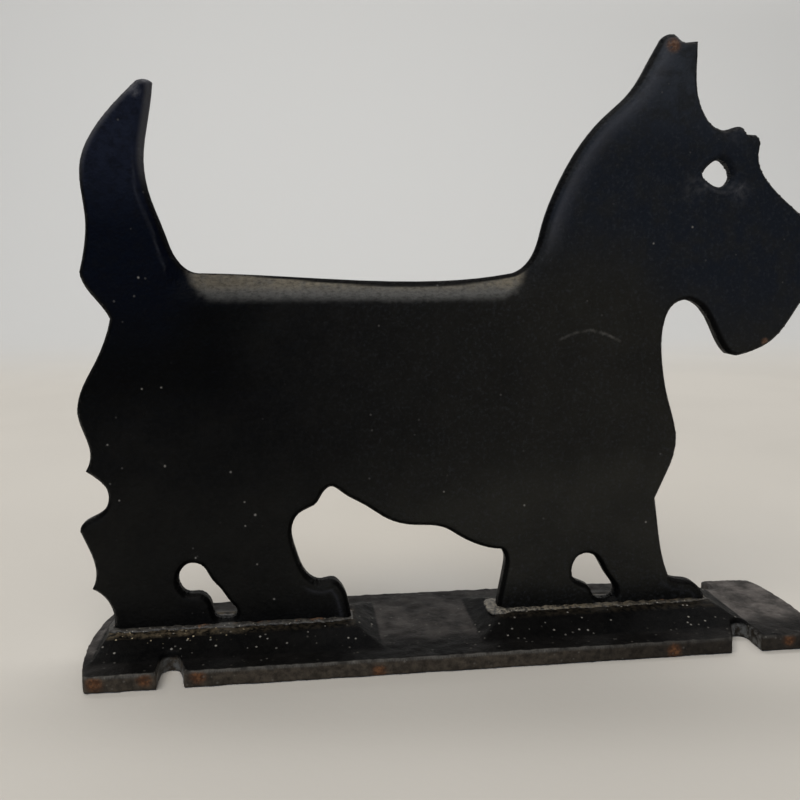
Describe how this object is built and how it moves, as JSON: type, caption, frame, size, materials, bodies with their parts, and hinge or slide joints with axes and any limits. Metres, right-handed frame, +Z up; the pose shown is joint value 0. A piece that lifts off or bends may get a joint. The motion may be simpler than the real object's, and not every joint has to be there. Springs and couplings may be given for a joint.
{
  "type": "paperweight",
  "caption": "Flat terrier silhouette standing upright on a thin base plate with open screw notches; its weight holds papers down.",
  "frame": {"origin": "middle of the base's flat underside", "axes": "+Z up, +X the way the dog faces, along the base; the plate stands in the XZ plane"},
  "size_m": [0.152, 0.032, 0.1223],
  "materials": {
    "painted_iron": "sand-cast iron under semi-gloss black enamel, with a fine grain, dust and small rust chips",
    "seam_putty": "iron putty, painted over, lumpy and dusty",
    "screw_steel": "dull steel, slightly rusted"
  },
  "bodies": {
    "root": {"terrier_plate": "painted_iron", "base_plate": "painted_iron", "hind_seam_bead": "seam_putty", "fore_seam_bead": "seam_putty", "hind_foot_screw": "screw_steel", "fore_foot_screw": "screw_steel"}
  },
  "joints": []
}
